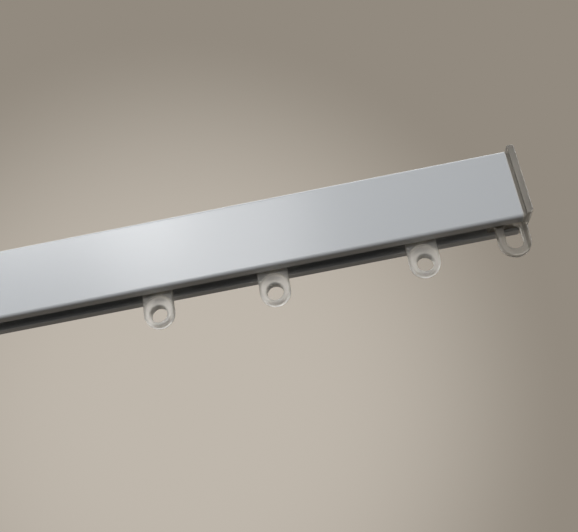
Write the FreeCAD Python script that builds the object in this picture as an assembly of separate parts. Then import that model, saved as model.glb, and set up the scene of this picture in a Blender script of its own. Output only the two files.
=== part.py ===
import FreeCAD, Part
import os

from FreeCAD import Vector

# A straight curtain track: a white aluminium extrusion with a wheel channel below and a bracket
# groove on top, a moulded cap with a hanging loop at each end, and runners that roll in the channel.
# Millimetres. X runs along the track, the plain front faces -Y, and Z is up.
# The origin is the middle of the bracket groove's mouth, half way along the track.

# Track extrusion, whose section is built outwards from the wheels and the bracket groove
track_length = 400.0
side_wall = 1.2
web_thickness = 1.2
running_lip = 1.3
slot_width = 6.4
chamber_height = 6.0
groove_height = 4.4
groove_lip = 1.3
groove_mouth = 6.4
outer_radius = 1.2
inner_radius = 0.4
lip_round = 0.35

# Wheels and their axle
wheel_diameter = 8.0
wheel_width = 2.3
tread_round = 0.45
hub_diameter = 4.2
rim_wall = 1.0
wheel_recess = 0.8
axle_diameter = 1.6
axle_chamfer = 0.2
axle_inset = 0.3

# Runner body: a moulded plate that ends in a thick-rimmed hanging eye, whose bore sits low in the rim
eye_bore = 5.6
eye_wall = 2.35
eye_drop = 7.0
eye_bore_offset = 0.65
eye_land = 0.1
rim_stretch = 1.1
rim_thickness = 3.6
rim_edge_round = 0.9
body_thickness = 2.4
body_edge_round = 0.6
body_corner_round = 1.6

# End caps
collar_thickness = 1.0
collar_inset = 0.25
plate_thickness = 2.3
plate_top_rise = 1.5
plate_foot_rise = 0.55
plate_side_rise = 0.9
plate_edge_round = 0.7
plate_corner_round = 1.6
tongue_length = 12.0
tongue_lead = 0.8
stop_length = 10.0
loop_bore = 5.5
loop_wall = 2.6
loop_drop = 5.1
loop_inboard = 3.5
loop_thickness = 2.8
loop_edge_round = 0.8

# Clearances
wheel_roll_gap = 0.1
wheel_roof_gap = 1.5
wheel_side_gap = 0.6
wheel_slot_gap = 0.2
hub_gap = 0.2
body_top_gap = 0.5
axle_running_gap = 0.06
axle_press_gap = 0.02
plug_gap = 0.15

# Runners measured from the right-hand end, then more spread evenly to the left-hand end
measured_runner_distances = [33.85, 84.2, 123.7]
spread_runner_count = 3

# Places that follow from the sizes
half_length = track_length / 2
wheel_radius = wheel_diameter / 2
rim_face = slot_width / 2 + wheel_slot_gap
wheel_face = rim_face + wheel_width
channel_half = wheel_face + wheel_side_gap
half_depth = channel_half + side_wall
channel_height = wheel_roll_gap + wheel_diameter + wheel_roof_gap
groove_roof = -groove_lip
groove_floor = groove_roof - groove_height
chamber_roof = groove_floor - web_thickness
chamber_floor = chamber_roof - chamber_height
channel_roof = chamber_floor - web_thickness
channel_floor = channel_roof - channel_height
underside = channel_floor - running_lip
axle_height = channel_floor + wheel_roll_gap + wheel_radius
eye_height = underside - eye_drop
rim_low = eye_height + eye_bore_offset
rim_high = rim_low + rim_stretch
bore_radius = eye_bore / 2
rim_radius = bore_radius + eye_wall
bore_round = eye_wall - eye_bore_offset - rim_edge_round - eye_land
loop_height = underside - loop_drop

same = 1e-6
length_axis = Vector(1, 0, 0)
depth_axis = Vector(0, 1, 0)
drawing_axis = Vector(0, 0, 1)


def face_inside(edges):
    """Face inside edges that join end to end."""
    return Part.Face(Part.Wire(Part.sortEdges(edges)[0]))


def rectangle(low_u, low_v, high_u, high_v):
    """Square-cornered face in the drawing plane."""
    corners = [Vector(low_u, low_v), Vector(high_u, low_v), Vector(high_u, high_v), Vector(low_u, high_v)]
    return Part.Face(Part.makePolygon(corners + corners[:1]))


def rounded_rectangle(low_u, low_v, high_u, high_v, radius):
    """Face in the drawing plane with four rounded corners."""
    centres = [
        Vector(high_u - radius, high_v - radius),
        Vector(low_u + radius, high_v - radius),
        Vector(low_u + radius, low_v + radius),
        Vector(high_u - radius, low_v + radius),
    ]
    arcs = [
        Part.makeCircle(radius, centre, drawing_axis, 90 * turn, 90 * turn + 90)
        for turn, centre in enumerate(centres)
    ]
    sides = [
        Part.makeLine(arc.Vertexes[-1].Point, following.Vertexes[0].Point)
        for arc, following in zip(arcs, arcs[1:] + arcs[:1])
    ]
    return face_inside(arcs + sides)


def stadium(radius, low_v, high_v):
    """Face in the drawing plane: an upright slot with round ends about low_v and high_v."""
    low_arc = Part.makeCircle(radius, Vector(0, low_v), drawing_axis, 180, 360)
    high_arc = Part.makeCircle(radius, Vector(0, high_v), drawing_axis, 0, 180)
    sides = [Part.makeLine(Vector(side * radius, low_v), Vector(side * radius, high_v)) for side in (-1, 1)]
    return face_inside([low_arc, high_arc] + sides)


def hanging_plate(radius, low_v, high_v):
    """Face in the drawing plane: a strip with a square top and a round lower end about low_v."""
    arc = Part.makeCircle(radius, Vector(0, low_v), drawing_axis, 180, 360)
    corners = [Vector(-radius, low_v), Vector(-radius, high_v), Vector(radius, high_v), Vector(radius, low_v)]
    return face_inside([arc] + [Part.makeLine(start, end) for start, end in zip(corners, corners[1:])])


def section_at(face, place):
    """Turns a face drawn as (Y, Z) into the track's section plane at X = place."""
    section = face.copy()
    section.rotate(Vector(), Vector(1, 1, 1), 120)
    section.translate(length_axis * place)
    return section


def along_x(face, start, end):
    """Extrudes a face drawn as (Y, Z) along the track."""
    return section_at(face, start).extrude(length_axis * (end - start))


def through_depth(face, thickness):
    """Stands a face drawn as (X, Z) upright and extrudes it equally to the front and the back."""
    upright = face.copy()
    upright.rotate(Vector(), length_axis, 90)
    upright.translate(depth_axis * (thickness / 2))
    return upright.extrude(depth_axis * -thickness)


def single_solid(shape):
    """The one solid of a finished shape, with faces that continue each other joined."""
    solids = shape.removeSplitter().Solids
    if len(solids) != 1:
        raise ValueError("expected one solid, found %d" % len(solids))
    return solids[0]


def outline_edges(shape, thickness):
    """Edges round the flat front and back of a plate of this thickness."""
    flat = [face for face in shape.Faces if abs(abs(face.CenterOfMass.y) - thickness / 2) < same]
    return [edge for face in flat for edge in face.Edges]


def circles_of(shape, radius):
    """Round edges of a shape with this radius."""
    round_edges = [edge for edge in shape.Edges if edge.Curve.TypeId == "Part::GeomCircle"]
    return [edge for edge in round_edges if abs(edge.Curve.Radius - radius) < same]


def across(radius, place, height, half_reach):
    """Cylinder through the depth of the track."""
    return Part.makeCylinder(radius, 2 * half_reach, Vector(place, -half_reach, height), depth_axis)


def track_profile():
    """The extrusion: wheel channel below, closed chamber in the middle, bracket groove above."""
    outline = rounded_rectangle(-half_depth, underside, half_depth, 0, outer_radius)
    spaces = [
        rounded_rectangle(-channel_half, channel_floor, channel_half, channel_roof, inner_radius),
        rounded_rectangle(-channel_half, chamber_floor, channel_half, chamber_roof, inner_radius),
        rounded_rectangle(-channel_half, groove_floor, channel_half, groove_roof, inner_radius),
        rectangle(-slot_width / 2, underside, slot_width / 2, channel_floor),
        rectangle(-groove_mouth / 2, groove_roof, groove_mouth / 2, 0),
    ]
    section = outline.cut(spaces).Faces[0]
    bar = along_x(section, -half_length, half_length)
    lips = []
    for edge in bar.Edges:
        middle = edge.CenterOfMass
        at_slot = abs(abs(middle.y) - slot_width / 2) < same and middle.z < channel_roof
        at_mouth = abs(abs(middle.y) - groove_mouth / 2) < same and middle.z > groove_floor
        if abs(middle.x) < same and (at_slot or at_mouth):
            lips.append(edge)
    return single_solid(bar.makeFillet(lip_round, lips))


def runner_body(place):
    """Moulded plate that hangs from the axle through the slot and ends in a rimmed eye."""
    low, high = rim_low - body_corner_round, channel_roof - body_top_gap
    outline = rounded_rectangle(-rim_radius, low, rim_radius, high, body_corner_round)
    plate = through_depth(outline, body_thickness)
    plate = plate.makeFillet(body_edge_round, outline_edges(plate, body_thickness))
    rim = through_depth(stadium(rim_radius, rim_low, rim_high), rim_thickness)
    rim = rim.makeFillet(rim_edge_round, outline_edges(rim, rim_thickness))
    body = plate.fuse(rim).cut(across(bore_radius, 0, eye_height, rim_thickness))
    body = body.makeFillet(bore_round, circles_of(body, bore_radius))
    axle_hole = across(axle_diameter / 2 + axle_running_gap, 0, axle_height, body_thickness)
    body = single_solid(body.cut(axle_hole))
    body.translate(length_axis * place)
    return body


def spun(points, place):
    """Solid of revolution about an axle, from (Y, radius) points."""
    corners = [Vector(place, y, axle_height + radius) for y, radius in points]
    face = Part.Face(Part.makePolygon(corners + corners[:1]))
    return face.revolve(Vector(place, 0, axle_height), depth_axis, 360)


def rear_wheel(place):
    """Wheel with a long hub towards the runner body and a recessed outer face."""
    hub_face = body_thickness / 2 + hub_gap
    bore = axle_diameter / 2 + axle_press_gap
    hub = hub_diameter / 2
    recess_rim = wheel_radius - rim_wall
    recess_floor = wheel_face - wheel_recess
    points = [
        (hub_face, bore),
        (hub_face, hub),
        (rim_face, hub),
        (rim_face, wheel_radius),
        (wheel_face, wheel_radius),
        (wheel_face, recess_rim),
        (recess_floor, recess_rim),
        (recess_floor, hub),
        (wheel_face, hub),
        (wheel_face, bore),
    ]
    turned = spun(points, place)
    return single_solid(turned.makeFillet(tread_round, circles_of(turned, wheel_radius)))


def front_wheel(place):
    """The rear wheel's twin on the other end of the axle."""
    return rear_wheel(place).mirror(Vector(), depth_axis)


def axle(place):
    """Steel pin through both wheels, with a small chamfer at each end."""
    end = wheel_face - axle_inset
    radius = axle_diameter / 2
    points = [
        (-end, 0),
        (-end, radius - axle_chamfer),
        (axle_chamfer - end, radius),
        (end - axle_chamfer, radius),
        (end, radius - axle_chamfer),
        (end, 0),
    ]
    return single_solid(spun(points, place))


def cap_collar():
    """Slab against the cut end of the track, set in a little from the track's outline."""
    half, low, high = half_depth - collar_inset, underside + collar_inset, -collar_inset
    outline = rounded_rectangle(-half, low, half, high, outer_radius)
    return along_x(outline, half_length, half_length + collar_thickness)


def cap_plate():
    """Outer plate, which stands proud above and at the sides and stops short of the underside."""
    inner = half_length + collar_thickness
    outer = inner + plate_thickness
    foot = underside + plate_foot_rise
    centre = Vector(outer - plate_corner_round, foot + plate_corner_round)
    disc = Part.Face(Part.Wire(Part.makeCircle(plate_corner_round, centre)))
    corner = rectangle(centre.x, foot, outer, centre.y).cut(disc)
    outline = rectangle(inner, foot, outer, plate_top_rise).cut(corner).Faces[0]
    plate = through_depth(outline, 2 * (half_depth + plate_side_rise))
    outer_edges = []
    for edge in plate.Edges:
        middle = edge.CenterOfMass
        if middle.x > inner + same and (abs(middle.y) > half_depth or middle.z > 0):
            outer_edges.append(edge)
    return plate.makeFillet(plate_edge_round, outer_edges)


def cap_tongue():
    """Plug in the closed chamber, tapered at its tip to find its way in."""
    half, low, high = channel_half - plug_gap, chamber_floor + plug_gap, chamber_roof - plug_gap
    tip = half_length - tongue_length
    lead = tongue_lead
    full = rounded_rectangle(-half, low, half, high, inner_radius)
    small = rounded_rectangle(lead - half, low + lead, half - lead, high - lead, inner_radius)
    wires = [section_at(small, tip).OuterWire, section_at(full, tip + lead).OuterWire]
    return Part.makeLoft(wires, True, True).fuse(along_x(full, tip + lead, half_length + collar_thickness))


def cap_stop():
    """Block in the wheel channel that stops the runners and carries the loop."""
    half, low, high = channel_half - plug_gap, channel_floor + plug_gap, channel_roof - plug_gap
    outline = rounded_rectangle(-half, low, half, high, inner_radius)
    return along_x(outline, half_length - stop_length, half_length + collar_thickness)


def cap_loop():
    """Hanging loop: two arms down through the slot, joined by a half ring."""
    root = channel_floor + plug_gap + loop_thickness
    inner = loop_bore / 2
    opening = stadium(inner, loop_height, channel_floor - inner)
    outline = hanging_plate(inner + loop_wall, loop_height, root).cut(opening).Faces[0]
    loop = through_depth(outline, loop_thickness)
    loop = loop.makeFillet(loop_edge_round, outline_edges(loop, loop_thickness))
    loop.translate(length_axis * (half_length - loop_inboard))
    return loop


def right_end_cap():
    """Moulded cap: collar, outer plate, tongue, stop block and loop in one piece."""
    return single_solid(cap_collar().fuse([cap_plate(), cap_tongue(), cap_stop(), cap_loop()]))


def left_end_cap():
    """The right-hand cap's mirror image."""
    return right_end_cap().mirror(Vector(), length_axis)


def runner_places():
    """X of each runner, from the right-hand end to the left-hand end."""
    measured = [half_length - distance for distance in measured_runner_distances]
    left_loop = loop_inboard - half_length
    step = (measured[-1] - left_loop) / (spread_runner_count + 1)
    return measured + [measured[-1] - step * (number + 1) for number in range(spread_runner_count)]


def all_pieces():
    """Every piece's name and its solid."""
    pieces = {
        "track_profile": track_profile(),
        "right_end_cap": right_end_cap(),
        "left_end_cap": left_end_cap(),
    }
    for number, place in enumerate(runner_places(), start=1):
        pieces["runner_%d_body" % number] = runner_body(place)
        pieces["runner_%d_axle" % number] = axle(place)
        pieces["runner_%d_front_wheel" % number] = front_wheel(place)
        pieces["runner_%d_rear_wheel" % number] = rear_wheel(place)
    return pieces


os.makedirs("parts", exist_ok=True)
for name, solid in all_pieces().items():
    if not solid.isValid() or solid.Volume <= 0:
        raise ValueError("%s is not a sound solid" % name)
    solid.exportStep("parts/%s.step" % name)
    print("%-22s %9.2f mm3" % (name, solid.Volume))
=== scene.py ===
import bmesh, bpy, math
from mathutils import Matrix, Vector


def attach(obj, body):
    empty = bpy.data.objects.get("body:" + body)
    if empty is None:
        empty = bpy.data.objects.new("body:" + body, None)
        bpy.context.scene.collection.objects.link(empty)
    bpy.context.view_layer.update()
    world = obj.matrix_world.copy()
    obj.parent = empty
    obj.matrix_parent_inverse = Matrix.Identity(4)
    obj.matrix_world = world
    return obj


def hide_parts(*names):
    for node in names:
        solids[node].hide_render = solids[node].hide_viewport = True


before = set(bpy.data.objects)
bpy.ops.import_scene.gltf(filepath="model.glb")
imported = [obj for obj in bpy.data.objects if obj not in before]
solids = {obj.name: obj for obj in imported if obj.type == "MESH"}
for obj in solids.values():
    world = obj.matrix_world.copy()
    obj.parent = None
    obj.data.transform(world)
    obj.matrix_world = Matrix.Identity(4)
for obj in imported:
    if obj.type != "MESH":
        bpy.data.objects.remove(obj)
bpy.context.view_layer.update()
scene = bpy.context.scene
scene.view_settings.view_transform = "Standard"
mm = 0.001  # sizes below are in millimetres, the frame is in metres
seamGap = 0.001 * mm  # points closer than this are one point of a seam
quarterTurn = math.pi / 2
runnerCount = sum(name.endswith("_axle") for name in solids)
print("frame:", len(solids), "solids,", runnerCount, "runners")

# Sockets of a Mix node by place, because its numbers and its colours share their names
mixFactor, numberA, numberB, colourA, colourB = 0, 2, 3, 6, 7
mixedNumber, mixedColour = 0, 2


# The colour that the nodes take, from an sRGB code
def linear(hexColour):
    channels = [int(hexColour[start:start + 2], 16) / 255 for start in (1, 3, 5)]
    return (*(c / 12.92 if c <= 0.04045 else ((c + 0.055) / 1.055) ** 2.4 for c in channels), 1.0)


# The scale of a pattern whose marks are this many millimetres wide
def perWidth(width):
    return 1 / (width * mm)


# An input is a value, a socket to link, or a list of sockets
def addNode(tree, kind, inputs=None, **settings):
    node = tree.nodes.new(kind)
    for name, value in settings.items():
        setattr(node, name, value)
    for name, value in (inputs or {}).items():
        for source in value if isinstance(value, list) else [value]:
            if isinstance(source, bpy.types.NodeSocket):
                tree.links.new(source, node.inputs[name])
            else:
                node.inputs[name].default_value = source
    return node


def newMaterial(name):
    material = bpy.data.materials.new(name)
    material.use_nodes = True
    tree = material.node_tree
    return material, tree, tree.nodes["Principled BSDF"]


# Polyester powder baked on extruded aluminium: a cool white satin skin with faint orange peel and
# the die's long lines just showing through, and bare grey metal with saw marks at the cut ends.
# Real die lines and saw marks are finer; both are drawn as coarse as they need to show.
coatSet = {
    "white": "#D8DCE0", "shade": "#D4D8DC", "driftWidth": 140,
    "bareMetal": "#DCDEE0", "cutPlace": 199.75, "cutRoughness": 0.42,
    "peelWidth": 2.4, "peelDepth": 0.005,
    "dieLineWidth": 0.9, "dieLineLength": 160, "dieLineDepth": 0.003,
    "sawSpacing": 0.7, "sawDepth": 0.02, "sawWander": 1.0,
    "roughness": (0.19, 0.25),
}
waveBand = 0.314  # the bands of a Wave texture lie this far apart at scale 1


def powderCoatedAluminium(s):
    material, tree, shader = newMaterial("powder_coated_aluminium")
    place = addNode(tree, "ShaderNodeTexCoord").outputs["Object"]
    drift = addNode(tree, "ShaderNodeTexNoise", {
        "Vector": place, "Scale": perWidth(s["driftWidth"]), "Detail": 2.0}).outputs["Fac"]
    white = addNode(tree, "ShaderNodeMix", {
        mixFactor: drift, colourA: linear(s["white"]), colourB: linear(s["shade"])}, data_type="RGBA")
    along = addNode(tree, "ShaderNodeSeparateXYZ", {"Vector": place}).outputs["X"]
    reach = addNode(tree, "ShaderNodeMath", {0: along}, operation="ABSOLUTE").outputs[0]
    cut = addNode(tree, "ShaderNodeMath", {
        0: reach, 1: s["cutPlace"] * mm}, operation="GREATER_THAN").outputs[0]
    colour = addNode(tree, "ShaderNodeMix", {
        mixFactor: cut, colourA: white.outputs[mixedColour], colourB: linear(s["bareMetal"])},
        data_type="RGBA")
    peel = addNode(tree, "ShaderNodeTexNoise", {
        "Vector": place, "Scale": perWidth(s["peelWidth"]), "Detail": 1.0})
    satin = addNode(tree, "ShaderNodeMapRange", {
        "Value": drift, "To Min": s["roughness"][0], "To Max": s["roughness"][1]})
    rough = addNode(tree, "ShaderNodeMix", {
        mixFactor: cut, numberA: satin.outputs[0], numberB: s["cutRoughness"]}, data_type="FLOAT")
    across = perWidth(s["dieLineWidth"])
    drawn = addNode(tree, "ShaderNodeMapping", {
        "Vector": place, "Scale": (perWidth(s["dieLineLength"]), across, across)})
    dieLines = addNode(tree, "ShaderNodeTexNoise", {
        "Vector": drawn.outputs[0], "Scale": 1.0, "Detail": 3.0})
    saw = addNode(tree, "ShaderNodeTexWave", {
        "Vector": place, "Scale": waveBand * perWidth(s["sawSpacing"]), "Distortion": s["sawWander"]},
        bands_direction="Z")
    sawn = addNode(tree, "ShaderNodeMath", {0: saw.outputs["Fac"], 1: cut}, operation="MULTIPLY")
    skin = addNode(tree, "ShaderNodeBump", {
        "Height": peel.outputs["Fac"], "Distance": s["peelDepth"] * mm})
    lined = addNode(tree, "ShaderNodeBump", {
        "Height": dieLines.outputs["Fac"], "Distance": s["dieLineDepth"] * mm, "Normal": skin.outputs[0]})
    ends = addNode(tree, "ShaderNodeBump", {
        "Height": sawn.outputs[0], "Distance": s["sawDepth"] * mm, "Normal": lined.outputs[0]})
    tree.links.new(colour.outputs[mixedColour], shader.inputs["Base Color"])
    tree.links.new(cut, shader.inputs["Metallic"])
    tree.links.new(rough.outputs[mixedNumber], shader.inputs["Roughness"])
    tree.links.new(ends.outputs[0], shader.inputs["Normal"])
    return material


# Unfilled nylon, injection moulded: milky and see-through in thin walls, with soft flow marks and a
# spark-eroded skin, whose grain is finer in reality and drawn as coarse as it needs to show. The
# caps are the same nylon painted darker as painted shade for the dimmer light at the track's ends,
# and darker still in a band of painted shadow on the collar between the track's cut end and the plate.
runnerNylonSet = {
    "name": "natural_nylon_runner", "clear": "#FDFDFB", "milky": "#F6F6F4",
    "flowWidth": 3.0, "flowDepth": 0.006, "flowTwist": 0.6,
    "sparkWidth": 0.45, "sparkDepth": 0.006,
    "roughness": (0.36, 0.44), "transmission": 0.76, "ior": 1.4,
}
capNylonSet = dict(
    # painted shade: the caps' nylon colours are darker than the runners' for the dimmer light at the ends
    runnerNylonSet, name="natural_nylon_cap", clear="#D0CDC6", milky="#C4C0B9",
    # painted shadow: a darker colour over the collar between the track's cut end and the plate, for the
    # shade in that step
    transmission=0.68, ior=1.45, thick="#98958E", thickFrom=199.9, thickTo=201.05,
)


def naturalNylon(s):
    material, tree, shader = newMaterial(s["name"])
    place = addNode(tree, "ShaderNodeTexCoord").outputs["Object"]
    flow = addNode(tree, "ShaderNodeTexNoise", {
        "Vector": place, "Scale": perWidth(s["flowWidth"]), "Detail": 2.0,
        "Distortion": s["flowTwist"]}).outputs["Fac"]
    colour = addNode(tree, "ShaderNodeMix", {
        mixFactor: flow, colourA: linear(s["clear"]), colourB: linear(s["milky"])}, data_type="RGBA")
    # Painted shadow: the collar band from the track's cut end to the plate is coloured darker, standing for
    # its shade
    if "thick" in s:
        along = addNode(tree, "ShaderNodeSeparateXYZ", {"Vector": place}).outputs["X"]
        reach = addNode(tree, "ShaderNodeMath", {0: along}, operation="ABSOLUTE").outputs[0]
        middle = (s["thickFrom"] + s["thickTo"]) / 2 * mm
        half = (s["thickTo"] - s["thickFrom"]) / 2 * mm
        shadowBand = addNode(tree, "ShaderNodeMath", {
            0: reach, 1: middle, 2: half}, operation="COMPARE").outputs[0]
        colour = addNode(tree, "ShaderNodeMix", {
            mixFactor: shadowBand, colourA: colour.outputs[mixedColour], colourB: linear(s["thick"])},
            data_type="RGBA")
    spark = addNode(tree, "ShaderNodeTexNoise", {
        "Vector": place, "Scale": perWidth(s["sparkWidth"]), "Detail": 2.0}).outputs["Fac"]
    rough = addNode(tree, "ShaderNodeMapRange", {
        "Value": spark, "To Min": s["roughness"][0], "To Max": s["roughness"][1]})
    waves = addNode(tree, "ShaderNodeBump", {"Height": flow, "Distance": s["flowDepth"] * mm})
    skin = addNode(tree, "ShaderNodeBump", {
        "Height": spark, "Distance": s["sparkDepth"] * mm, "Normal": waves.outputs[0]})
    tree.links.new(colour.outputs[mixedColour], shader.inputs["Base Color"])
    tree.links.new(rough.outputs[0], shader.inputs["Roughness"])
    tree.links.new(skin.outputs[0], shader.inputs["Normal"])
    shader.inputs["Transmission Weight"].default_value = s["transmission"]
    shader.inputs["IOR"].default_value = s["ior"]
    return material


# Moulded acetal: a dense waxy white, a little polished where it has rolled. Its grain is finer in
# reality and drawn as coarse as it needs to show.
acetalSet = {
    "white": "#E9E8E3", "worn": "#DAD8D1", "patchWidth": 2.5,
    "grainWidth": 0.3, "grainDepth": 0.006, "roughness": (0.32, 0.46),
}


def acetal(s):
    material, tree, shader = newMaterial("moulded_acetal")
    place = addNode(tree, "ShaderNodeTexCoord").outputs["Object"]
    patch = addNode(tree, "ShaderNodeTexNoise", {
        "Vector": place, "Scale": perWidth(s["patchWidth"]), "Detail": 3.0}).outputs["Fac"]
    colour = addNode(tree, "ShaderNodeMix", {
        mixFactor: patch, colourA: linear(s["white"]), colourB: linear(s["worn"])}, data_type="RGBA")
    rough = addNode(tree, "ShaderNodeMapRange", {
        "Value": patch, "To Min": s["roughness"][0], "To Max": s["roughness"][1]})
    grain = addNode(tree, "ShaderNodeTexNoise", {"Vector": place, "Scale": perWidth(s["grainWidth"])})
    skin = addNode(tree, "ShaderNodeBump", {
        "Height": grain.outputs["Fac"], "Distance": s["grainDepth"] * mm})
    tree.links.new(colour.outputs[mixedColour], shader.inputs["Base Color"])
    tree.links.new(rough.outputs[0], shader.inputs["Roughness"])
    tree.links.new(skin.outputs[0], shader.inputs["Normal"])
    return material


# Turned steel wire: grey metal with rings left by the tool round its axis, which are finer in
# reality and drawn as coarse as they need to show.
steelSet = {
    "bright": "#C9CACC", "dull": "#A9ABAE", "ringSpacing": 0.12, "ringDepth": 0.004,
    "roughness": (0.24, 0.36),
}


def turnedSteel(s):
    material, tree, shader = newMaterial("turned_steel")
    place = addNode(tree, "ShaderNodeTexCoord").outputs["Object"]
    flat = addNode(tree, "ShaderNodeMapping", {
        "Vector": place, "Scale": (0.0, perWidth(s["ringSpacing"]), 0.0)})
    rings = addNode(tree, "ShaderNodeTexNoise", {
        "Vector": flat.outputs[0], "Scale": 1.0, "Detail": 3.0}).outputs["Fac"]
    colour = addNode(tree, "ShaderNodeMix", {
        mixFactor: rings, colourA: linear(s["bright"]), colourB: linear(s["dull"])}, data_type="RGBA")
    rough = addNode(tree, "ShaderNodeMapRange", {
        "Value": rings, "To Min": s["roughness"][0], "To Max": s["roughness"][1]})
    skin = addNode(tree, "ShaderNodeBump", {"Height": rings, "Distance": s["ringDepth"] * mm})
    tree.links.new(colour.outputs[mixedColour], shader.inputs["Base Color"])
    tree.links.new(rough.outputs[0], shader.inputs["Roughness"])
    tree.links.new(skin.outputs[0], shader.inputs["Normal"])
    shader.inputs["Metallic"].default_value = 1.0
    return material


coat = powderCoatedAluminium(coatSet)
runnerNylon = naturalNylon(runnerNylonSet)
capNylon = naturalNylon(capNylonSet)
wheelAcetal = acetal(acetalSet)
pinSteel = turnedSteel(steelSet)
print("materials:", len(bpy.data.materials))


# Geometry Nodes: a tree with named sizes, run on a drawing and kept as a plain mesh
socketKinds = {"mm": "NodeSocketFloat", "steps": "NodeSocketInt", "material": "NodeSocketMaterial"}


def newTree(name, **sizes):
    tree = bpy.data.node_groups.new(name, "GeometryNodeTree")
    tree.interface.new_socket("drawing", in_out="INPUT", socket_type="NodeSocketGeometry")
    for size, kind in sizes.items():
        tree.interface.new_socket(size, in_out="INPUT", socket_type=socketKinds[kind])
    tree.interface.new_socket("shape", in_out="OUTPUT", socket_type="NodeSocketGeometry")
    return tree, addNode(tree, "NodeGroupInput").outputs


def endTree(tree, shape, material):
    whole = addNode(tree, "GeometryNodeRealizeInstances", {"Geometry": shape})
    painted = addNode(tree, "GeometryNodeSetMaterial", {
        "Geometry": whole.outputs[0], "Material": material})
    addNode(tree, "NodeGroupOutput", {"shape": painted.outputs[0]})


def plainMesh(holder):
    seen = holder.evaluated_get(bpy.context.evaluated_depsgraph_get())
    return bpy.data.meshes.new_from_object(seen)


def runTree(tree, drawing, **values):
    maker = bpy.data.objects.new("maker", drawing)
    scene.collection.objects.link(maker)
    modifier = maker.modifiers.new("nodes", "NODES")
    modifier.node_group = tree
    for item in tree.interface.items_tree:
        if item.in_out == "INPUT" and item.name in values:
            modifier[item.identifier] = values[item.name]
    made = plainMesh(maker)
    maker.modifiers.remove(modifier)
    bpy.data.objects.remove(maker)
    return made


# A drawing is closed loops, or one open line, of corners (across, up, round) in millimetres
def drawing(name, loops, closed=True):
    points, edges, rounds = [], [], []
    for loop in loops:
        first = len(points)
        points += [(across * mm, up * mm, 0.0) for across, up, turn in loop]
        rounds += [turn * mm for across, up, turn in loop]
        edges += [(first + i, first + i + 1) for i in range(len(loop) - 1)]
        edges += [(len(points) - 1, first)] if closed else []
    mesh = bpy.data.meshes.new(name)
    mesh.from_pydata(points, edges, [])
    mesh.attributes.new("cornerRound", "FLOAT", "POINT").data.foreach_set("value", rounds)
    return mesh


def roundedCorners(tree, line, steps):
    curve = addNode(tree, "GeometryNodeMeshToCurve", {"Mesh": line})
    turn = addNode(tree, "GeometryNodeInputNamedAttribute", {"Name": "cornerRound"}, data_type="FLOAT")
    return addNode(tree, "GeometryNodeFilletCurve", {
        "Curve": curve.outputs[0], "Count": steps, "Limit Radius": True,
        "Radius": turn.outputs["Attribute"]}, mode="POLY").outputs[0]


flatWeight = 100  # the most there is: large flat faces decide the shading beside them


# Closes the seams, turns every face outwards and keeps flat faces flat beside their rounded edges
def finishedMesh(name, mesh, sharpAngle):
    shape = bmesh.new()
    shape.from_mesh(mesh)
    bmesh.ops.remove_doubles(shape, verts=shape.verts, dist=seamGap / 2)
    bmesh.ops.dissolve_degenerate(shape, edges=shape.edges, dist=seamGap / 2)
    bmesh.ops.recalc_face_normals(shape, faces=shape.faces)
    shape.to_mesh(mesh)
    openEdges = sum(not edge.is_manifold for edge in shape.edges)
    shape.free()
    mesh.shade_smooth()
    mesh.set_sharp_from_angle(angle=math.radians(sharpAngle))
    holder = bpy.data.objects.new("holder", mesh)
    scene.collection.objects.link(holder)
    evenOut = holder.modifiers.new("evenOut", "WEIGHTED_NORMAL")
    evenOut.keep_sharp, evenOut.weight = True, flatWeight
    kept = plainMesh(holder)
    bpy.data.objects.remove(holder)
    print(" ", name, len(kept.polygons), "faces,", openEdges, "open edges")
    return kept


def addPiece(name, made, sharpAngle, body, slot, *replaced):
    mesh = finishedMesh(name, made, sharpAngle)
    mesh.name = name
    piece = bpy.data.objects.new(name, mesh)
    scene.collection.objects.link(piece)
    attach(piece, body)
    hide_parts(*replaced)


# The track: one section, drawn with its corner rounds and pushed along X
trackSet = {
    "length": 400, "halfDepth": 7.5, "height": 25, "insideHalf": 6.3, "slotHalf": 3.2,
    "floor": -23.7, "channelRoof": -14.1, "chamber": (-12.9, -6.9), "grooveFloor": -5.7, "lip": -1.3,
    "outerRound": 1.2, "innerRound": 0.4, "lipRound": 0.35, "cornerSteps": 7, "sharpAngle": 40,
}


def trackSection(s):
    inside, mouth, outside = s["insideHalf"], s["slotHalf"], s["halfDepth"]
    inner, lip, outer = s["innerRound"], s["lipRound"], s["outerRound"]
    bottom = -s["height"]
    right = [
        (inside, s["grooveFloor"], inner), (inside, s["lip"], inner),  # bracket groove
        (mouth, s["lip"], lip), (mouth, 0, lip),  # the groove's mouth
        (outside, 0, outer), (outside, bottom, outer),  # plain side
        (mouth, bottom, lip), (mouth, s["floor"], lip),  # slot
        (inside, s["floor"], inner), (inside, s["channelRoof"], inner),  # wheel channel
    ]
    left = [(-across, up, turn) for across, up, turn in reversed(right)]
    low, high = s["chamber"]
    chamber = [(-inside, low, inner), (inside, low, inner), (inside, high, inner), (-inside, high, inner)]
    return drawing("section", [right + left, chamber])


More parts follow.
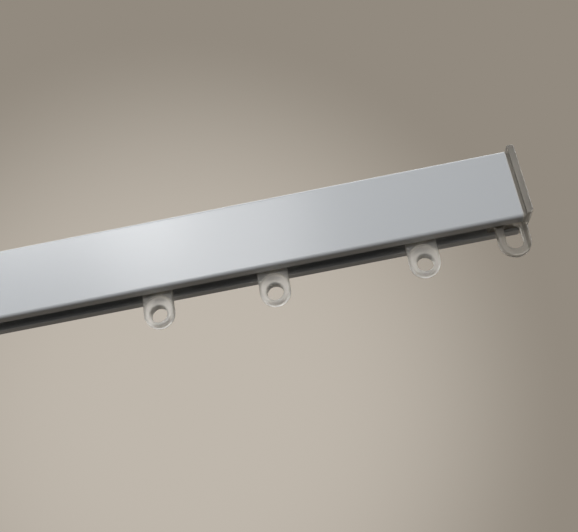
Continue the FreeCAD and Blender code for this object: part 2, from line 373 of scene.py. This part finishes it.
def extrusionTree():
    tree, size = newTree("extrudedTrack", length="mm", cornerSteps="steps", skin="material")
    outline = roundedCorners(tree, size["drawing"], size["cornerSteps"])
    face = addNode(tree, "GeometryNodeFillCurve", {"Curve": outline}, mode="NGONS").outputs[0]
    pushed = addNode(tree, "GeometryNodeExtrudeMesh", {
        "Mesh": face, "Offset": (0, 0, 1), "Offset Scale": size["length"], "Individual": False})
    start = addNode(tree, "GeometryNodeFlipFaces", {"Mesh": face}).outputs[0]
    bar = addNode(tree, "GeometryNodeJoinGeometry", {"Geometry": [pushed.outputs[0], start]})
    whole = addNode(tree, "GeometryNodeMergeByDistance", {
        "Geometry": bar.outputs[0], "Distance": seamGap})
    half = addNode(tree, "ShaderNodeMath", {0: size["length"], 1: -0.5}, operation="MULTIPLY")
    middle = addNode(tree, "ShaderNodeCombineXYZ", {"X": half.outputs[0]})
    laid = addNode(tree, "GeometryNodeTransform", {
        "Geometry": whole.outputs[0], "Translation": middle.outputs[0],
        "Rotation": (quarterTurn, 0, quarterTurn)})
    endTree(tree, laid.outputs[0], size["skin"])
    return tree


track = runTree(extrusionTree(), trackSection(trackSet), length=trackSet["length"] * mm,
                cornerSteps=trackSet["cornerSteps"], skin=coat)
addPiece("extrudedTrack", track, trackSet["sharpAngle"], "track", "coated_track", "track_profile")
print("track made")


# The wheels and axle of one runner: half sections turned about the axle, the wheels as a pair
wheelSet = {
    "tread": 4.0, "recess": 3.0, "hub": 2.1, "bore": 0.82,
    "hubFace": 1.4, "innerFace": 3.4, "outerFace": 5.7, "recessFloor": 4.9,
    "treadRound": 0.45, "edgeRound": 0.15, "cornerSteps": 5, "turns": 72, "sharpAngle": 32,
}
axleSet = {
    "height": -19.6, "radius": 0.8, "halfLength": 5.4, "endRound": 0.2,
    "cornerSteps": 4, "turns": 48, "sharpAngle": 32,
}


def wheelSections(s):
    edge, tread = s["edgeRound"], s["treadRound"]
    corners = [  # along the axle, out from it, round
        (s["hubFace"], s["bore"], 0), (s["hubFace"], s["hub"], edge),
        (s["innerFace"], s["hub"], edge), (s["innerFace"], s["tread"], tread),
        (s["outerFace"], s["tread"], tread), (s["outerFace"], s["recess"], edge),
        (s["recessFloor"], s["recess"], edge), (s["recessFloor"], s["hub"], edge),
        (s["outerFace"], s["hub"], edge), (s["outerFace"], s["bore"], 0),
    ]
    pair = [[(out - s["hub"], side * along, turn) for along, out, turn in corners] for side in (-1, 1)]
    return drawing("wheelSections", pair)


def axleSection(s):
    end, out = s["halfLength"], s["radius"]
    corners = [(-end, 0, 0), (-end, out, s["endRound"]), (end, out, s["endRound"]), (end, 0, 0)]
    line = [(radius - out, along, turn) for along, radius, turn in corners]
    return drawing("axleSection", [line], closed=False)


def turnedTree():
    tree, size = newTree("turnedPiece", pathRadius="mm", turns="steps", cornerSteps="steps",
                         place="mm", height="mm", skin="material")
    section = roundedCorners(tree, size["drawing"], size["cornerSteps"])
    path = addNode(tree, "GeometryNodeCurvePrimitiveCircle", {
        "Resolution": size["turns"], "Radius": size["pathRadius"]})
    turned = addNode(tree, "GeometryNodeCurveToMesh", {
        "Curve": path.outputs[0], "Profile Curve": section})
    whole = addNode(tree, "GeometryNodeMergeByDistance", {
        "Geometry": turned.outputs[0], "Distance": seamGap})
    spot = addNode(tree, "ShaderNodeCombineXYZ", {"X": size["place"], "Z": size["height"]})
    hung = addNode(tree, "GeometryNodeTransform", {
        "Geometry": whole.outputs[0], "Translation": spot.outputs[0], "Rotation": (-quarterTurn, 0, 0)})
    endTree(tree, hung.outputs[0], size["skin"])
    return tree


turnedPiece = turnedTree()
wheelDrawing, axleDrawing = wheelSections(wheelSet), axleSection(axleSet)
for number in range(1, runnerCount + 1):
    stem, wheelBody = "runner_%d" % number, "wheelset_%d" % number
    axleBox = solids[stem + "_axle"].bound_box
    spot = {"place": sum(corner[0] for corner in axleBox) / len(axleBox), "height": axleSet["height"] * mm}
    wheels = runTree(turnedPiece, wheelDrawing, pathRadius=wheelSet["hub"] * mm,
                     turns=wheelSet["turns"], cornerSteps=wheelSet["cornerSteps"], skin=wheelAcetal, **spot)
    axle = runTree(turnedPiece, axleDrawing, pathRadius=axleSet["radius"] * mm,
                   turns=axleSet["turns"], cornerSteps=axleSet["cornerSteps"], skin=pinSteel, **spot)
    addPiece("wheelPair%d" % number, wheels, wheelSet["sharpAngle"], wheelBody, "wheel_moulding",
             stem + "_front_wheel", stem + "_rear_wheel")
    addPiece("axlePin%d" % number, axle, axleSet["sharpAngle"], wheelBody, "axle_pin", stem + "_axle")
    solids[stem + "_body"].material_slots[0].material = runnerNylon
for node in ("right_end_cap", "left_end_cap"):
    solids[node].material_slots[0].material = capNylon
print("wheels and axles made, mouldings finished")


# Camera at the photograph's viewpoint: it looks up and along the track, and is rolled
cameraSet = {
    "place": (132.9, -261.4, -136.9), "yaw": -2.45, "pitch": 23.49, "roll": -10.02,
    "focalPixels": 848.3, "framePixels": 578, "sensor": 36, "clipStart": 1,
}


def placeCamera(s):
    yaw, pitch, roll = (math.radians(s[turn]) for turn in ("yaw", "pitch", "roll"))
    ahead = Vector((math.sin(yaw) * math.cos(pitch), math.cos(yaw) * math.cos(pitch), math.sin(pitch)))
    level = Vector((math.cos(yaw), -math.sin(yaw), 0))
    upright = level.cross(ahead)
    right = math.cos(roll) * level + math.sin(roll) * upright
    up = math.cos(roll) * upright - math.sin(roll) * level
    lens = bpy.data.cameras.new("camera")
    lens.sensor_width, lens.lens = s["sensor"], s["focalPixels"] / s["framePixels"] * s["sensor"]
    lens.clip_start = s["clipStart"] * mm
    camera = bpy.data.objects.new("camera", lens)
    scene.collection.objects.link(camera)
    turned = Matrix((right, up, -ahead)).transposed()
    camera.matrix_world = Matrix.Translation(Vector(s["place"]) * mm) @ turned.to_4x4()
    scene.camera = camera


# Soft boxes, each aimed at a point on the track. The back and end boxes are high enough for the
# track to shade its eyes.
lightSet = {
    "keyBox": {"place": (-60, -350, 270), "aim": (80, 0, -12), "size": (200, 200), "watts": 0.61},
    "sheenBox": {"place": (25, -515, 238), "aim": (84, 0, -12), "size": (200, 200), "watts": 0.56},
    "frontBox": {"place": (-200, -900, 60), "aim": (80, 0, -20), "size": (800, 160), "watts": 0.9},
    "edgeStrip": {"place": (-20, -800, -20), "aim": (80, 0, -22), "size": (320, 60), "watts": 0.85},
    "backBox": {"place": (0, 600, 1100), "aim": (0, 0, -12), "size": (1200, 1200), "watts": 6.0},
    "rightBox": {"place": (1000, 260, 450), "aim": (200, 0, -12), "size": (500, 500), "watts": 3.0},
    "leftBox": {"place": (-1000, 260, 450), "aim": (-200, 0, -12), "size": (500, 500), "watts": 3.0},
}


def placeLight(name, s):
    lamp = bpy.data.lights.new(name, "AREA")
    lamp.shape, lamp.energy = "RECTANGLE", s["watts"]
    lamp.size, lamp.size_y = (side * mm for side in s["size"])
    light = bpy.data.objects.new(name, lamp)
    scene.collection.objects.link(light)
    ahead = Vector(s["aim"]) - Vector(s["place"])
    light.location = Vector(s["place"]) * mm
    light.rotation_euler = ahead.to_track_quat("-Z", "Y").to_euler()


# A pale backdrop with a painted pool of light, which lights the object only a little, and a plain floor far
# below
backdropSet = {
    "near": "#BFB7AC", "far": "#928A7F", "centre": (-0.18, 0.948, 0.26), "spread": 25,
    "ambient": "#FFFFFF", "ambientStrength": 0.17,
}
floorSet = {"colour": "#8D857B", "bounce": "#5A554E", "roughness": 0.9, "height": -1000, "half": 3000}


# 1 for a ray that looks at a surface, straight, mirrored or through nylon, and 0 for one that lights it
def seenDirectly(tree):
    ray = addNode(tree, "ShaderNodeLightPath").outputs
    looked = addNode(tree, "ShaderNodeMath", {
        0: ray["Is Camera Ray"], 1: ray["Is Glossy Ray"]}, operation="MAXIMUM")
    return addNode(tree, "ShaderNodeMath", {
        0: looked.outputs[0], 1: ray["Is Transmission Ray"]}, operation="MAXIMUM").outputs[0]


def placeBackdrop(s):
    scene.world = bpy.data.worlds.new("backdrop")
    scene.world.use_nodes = True
    tree = scene.world.node_tree
    ahead = addNode(tree, "ShaderNodeTexCoord").outputs["Generated"]
    toCentre = addNode(tree, "ShaderNodeVectorMath", {
        0: ahead, 1: Vector(s["centre"]).normalized()}, operation="DOT_PRODUCT").outputs["Value"]
    # Painted light: the colour brightens from far to near as the direction nears centre, a pool of light no
    # lamp casts
    glow = addNode(tree, "ShaderNodeMapRange", {
        "Value": toCentre, "From Min": math.cos(math.radians(s["spread"])), "From Max": 1.0},
        interpolation_type="SMOOTHSTEP")
    colour = addNode(tree, "ShaderNodeMix", {
        mixFactor: glow.outputs[0], colourA: linear(s["far"]), colourB: linear(s["near"])},
        data_type="RGBA")
    seen = addNode(tree, "ShaderNodeBackground", {"Color": colour.outputs[mixedColour]})
    soft = addNode(tree, "ShaderNodeBackground", {
        "Color": linear(s["ambient"]), "Strength": s["ambientStrength"]})
    both = addNode(tree, "ShaderNodeMixShader", {
        0: seenDirectly(tree), 1: soft.outputs[0], 2: seen.outputs[0]})
    tree.links.new(both.outputs[0], tree.nodes["World Output"].inputs["Surface"])


def placeFloor(s):
    material, tree, shader = newMaterial("matt_floor")
    shader.inputs["Base Color"].default_value = linear(s["bounce"])
    shader.inputs["Roughness"].default_value = s["roughness"]
    glow = addNode(tree, "ShaderNodeEmission", {
        "Color": linear(s["colour"]), "Strength": seenDirectly(tree)})
    both = addNode(tree, "ShaderNodeAddShader", {0: shader.outputs[0], 1: glow.outputs[0]})
    tree.links.new(both.outputs[0], tree.nodes["Material Output"].inputs["Surface"])
    half, height = s["half"] * mm, s["height"] * mm
    corners = [(-half, -half, height), (half, -half, height), (half, half, height), (-half, half, height)]
    mesh = bpy.data.meshes.new("floor")
    mesh.from_pydata(corners, [], [(0, 1, 2, 3)])
    mesh.materials.append(material)
    floor = bpy.data.objects.new("floor", mesh)
    scene.collection.objects.link(floor)


placeCamera(cameraSet)
for lightName, lightSizes in lightSet.items():
    placeLight(lightName, lightSizes)
placeBackdrop(backdropSet)
placeFloor(floorSet)
print("camera, light and backdrop placed")
